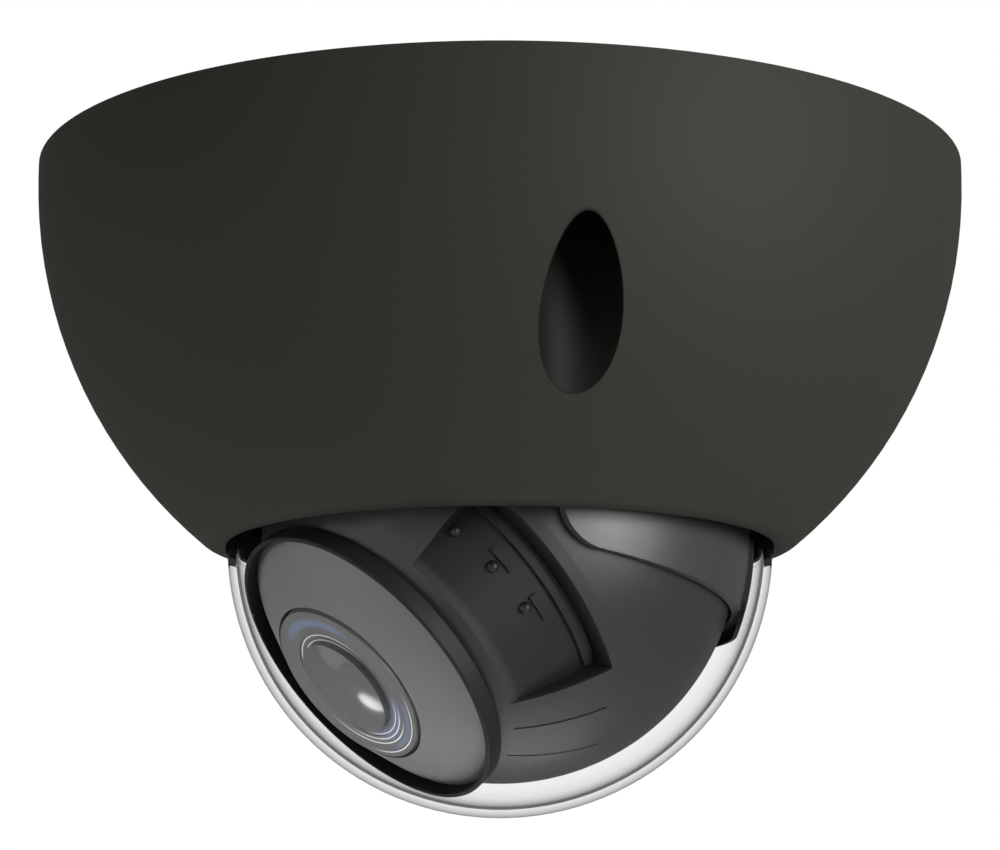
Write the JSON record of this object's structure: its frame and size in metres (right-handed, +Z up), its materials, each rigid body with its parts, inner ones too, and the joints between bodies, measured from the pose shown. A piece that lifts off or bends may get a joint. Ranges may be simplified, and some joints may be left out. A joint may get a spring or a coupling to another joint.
{
  "type": "dome cctv camera",
  "caption": "Ceiling dome security camera: dark bowl housing, clear dome, and a lens head that pans and tilts on a geared turret.",
  "frame": {"origin": "centre of the ceiling face of the mounting base", "axes": "+Z up into the ceiling, camera hangs towards -Z, -Y is the side the screw pocket nearly faces"},
  "size_m": [0.122, 0.122, 0.0848],
  "materials": {
    "cover": "matte",
    "dome": "clear polished",
    "black_plastic": "matte",
    "dark_plastic": "satin",
    "grey_plastic": "satin",
    "gloss_black": "gloss",
    "rubber": "matte",
    "cast_aluminium": "cast",
    "steel": "zinc plated",
    "polished_steel": "polished",
    "board": "solder mask",
    "chip": "satin",
    "brass": "machined",
    "nylon": "natural",
    "lens": "coated"
  },
  "bodies": {
    "base": {"seal_pad": "rubber", "base_plate": "cast_aluminium", "base_seal": "rubber", "cable_grommet": "rubber", "main_board": "board", "board_screws": "steel", "processor": "chip", "network_connector": "steel", "power_connector": "nylon", "card_socket": "steel", "reset_switch_body": "steel", "chassis_frame": "black_plastic", "chassis_screws": "steel", "bearing_outer": "polished_steel", "bearing_balls": "polished_steel", "pan_motor": "steel", "pan_motor_screws": "steel"},
    "reset": {"reset_button": "black_plastic"},
    "pan_drive": {"pan_pinion": "brass"},
    "turret": {"bearing_inner": "polished_steel", "turret_shroud": "black_plastic", "rear_shield": "gloss_black", "pan_gear": "nylon", "turret_screws": "steel", "pivot_pins": "polished_steel", "tilt_fixed_gear": "nylon"},
    "head": {"head_shell": "dark_plastic", "side_screws": "dark_plastic", "front_ring": "gloss_black", "face_plate": "grey_plastic", "lens_barrel": "black_plastic", "lens_bezel": "dark_plastic", "lens_ring": "gloss_black", "front_lens": "lens", "iris_ring": "gloss_black", "second_lens": "lens", "guide_rods": "polished_steel", "image_sensor": "chip", "sensor_board": "board", "sensor_screws": "steel", "head_frame": "black_plastic", "frame_screws": "steel", "tilt_motor": "steel", "pivot_bushes": "nylon", "lens_motor": "steel"},
    "tilt_drive": {"tilt_pinion": "brass"},
    "zoom": {"zoom_cell": "black_plastic", "zoom_lens": "lens"},
    "focus": {"focus_cell": "black_plastic", "focus_lens": "lens"},
    "cover": {"cover": "cover", "dome": "dome", "dome_seal": "rubber", "dome_clamp": "black_plastic", "clamp_screws": "steel", "cover_screws": "steel", "screw_seals": "rubber"}
  },
  "joints": [
    {"name": "pan", "type": "hinge", "parent": "base", "child": "turret", "pos_m": [0, 0, -0.024], "axis": [0, 0, 1], "range_deg": [-177.5, 177.5]},
    {"name": "tilt", "type": "hinge", "parent": "turret", "child": "head", "pos_m": [0, 0, -0.0493], "axis": [0.5299, -0.848, 0], "range_deg": [-36, 49]},
    {"name": "pan_drive_spin", "type": "hinge", "parent": "base", "child": "pan_drive", "pos_m": [-0.00751, 0.04259, -0.0313], "axis": [0, 0, 1], "range_deg": [-1650, 1650]},
    {"name": "tilt_drive_spin", "type": "hinge", "parent": "head", "child": "tilt_drive", "pos_m": [0.00116, 0.02313, -0.03779], "axis": [0.5299, -0.848, 0], "range_deg": [-216.5, 294.5]},
    {"name": "zoom", "type": "slide", "parent": "head", "child": "zoom", "axis": [-0.64, -0.3999, -0.6561], "range_m": [-0.0025, 0.0025]},
    {"name": "focus", "type": "slide", "parent": "head", "child": "focus", "axis": [-0.64, -0.3999, -0.6561], "range_m": [-0.0015, 0.0015]},
    {"name": "reset_press", "type": "slide", "parent": "base", "child": "reset", "axis": [0, 0, 1], "range_m": [0, 0.0004], "stiffness_N_per_m": 800, "springref_m": -0.0003},
    {"name": "cover_release", "type": "slide", "parent": "base", "child": "cover", "axis": [0, 0, -1], "range_m": [0, 0.1]}
  ],
  "couplings": [
    {"joint": "pan_drive_spin", "follows": "pan", "ratio": -9.2857},
    {"joint": "tilt_drive_spin", "follows": "tilt", "ratio": 6}
  ]
}
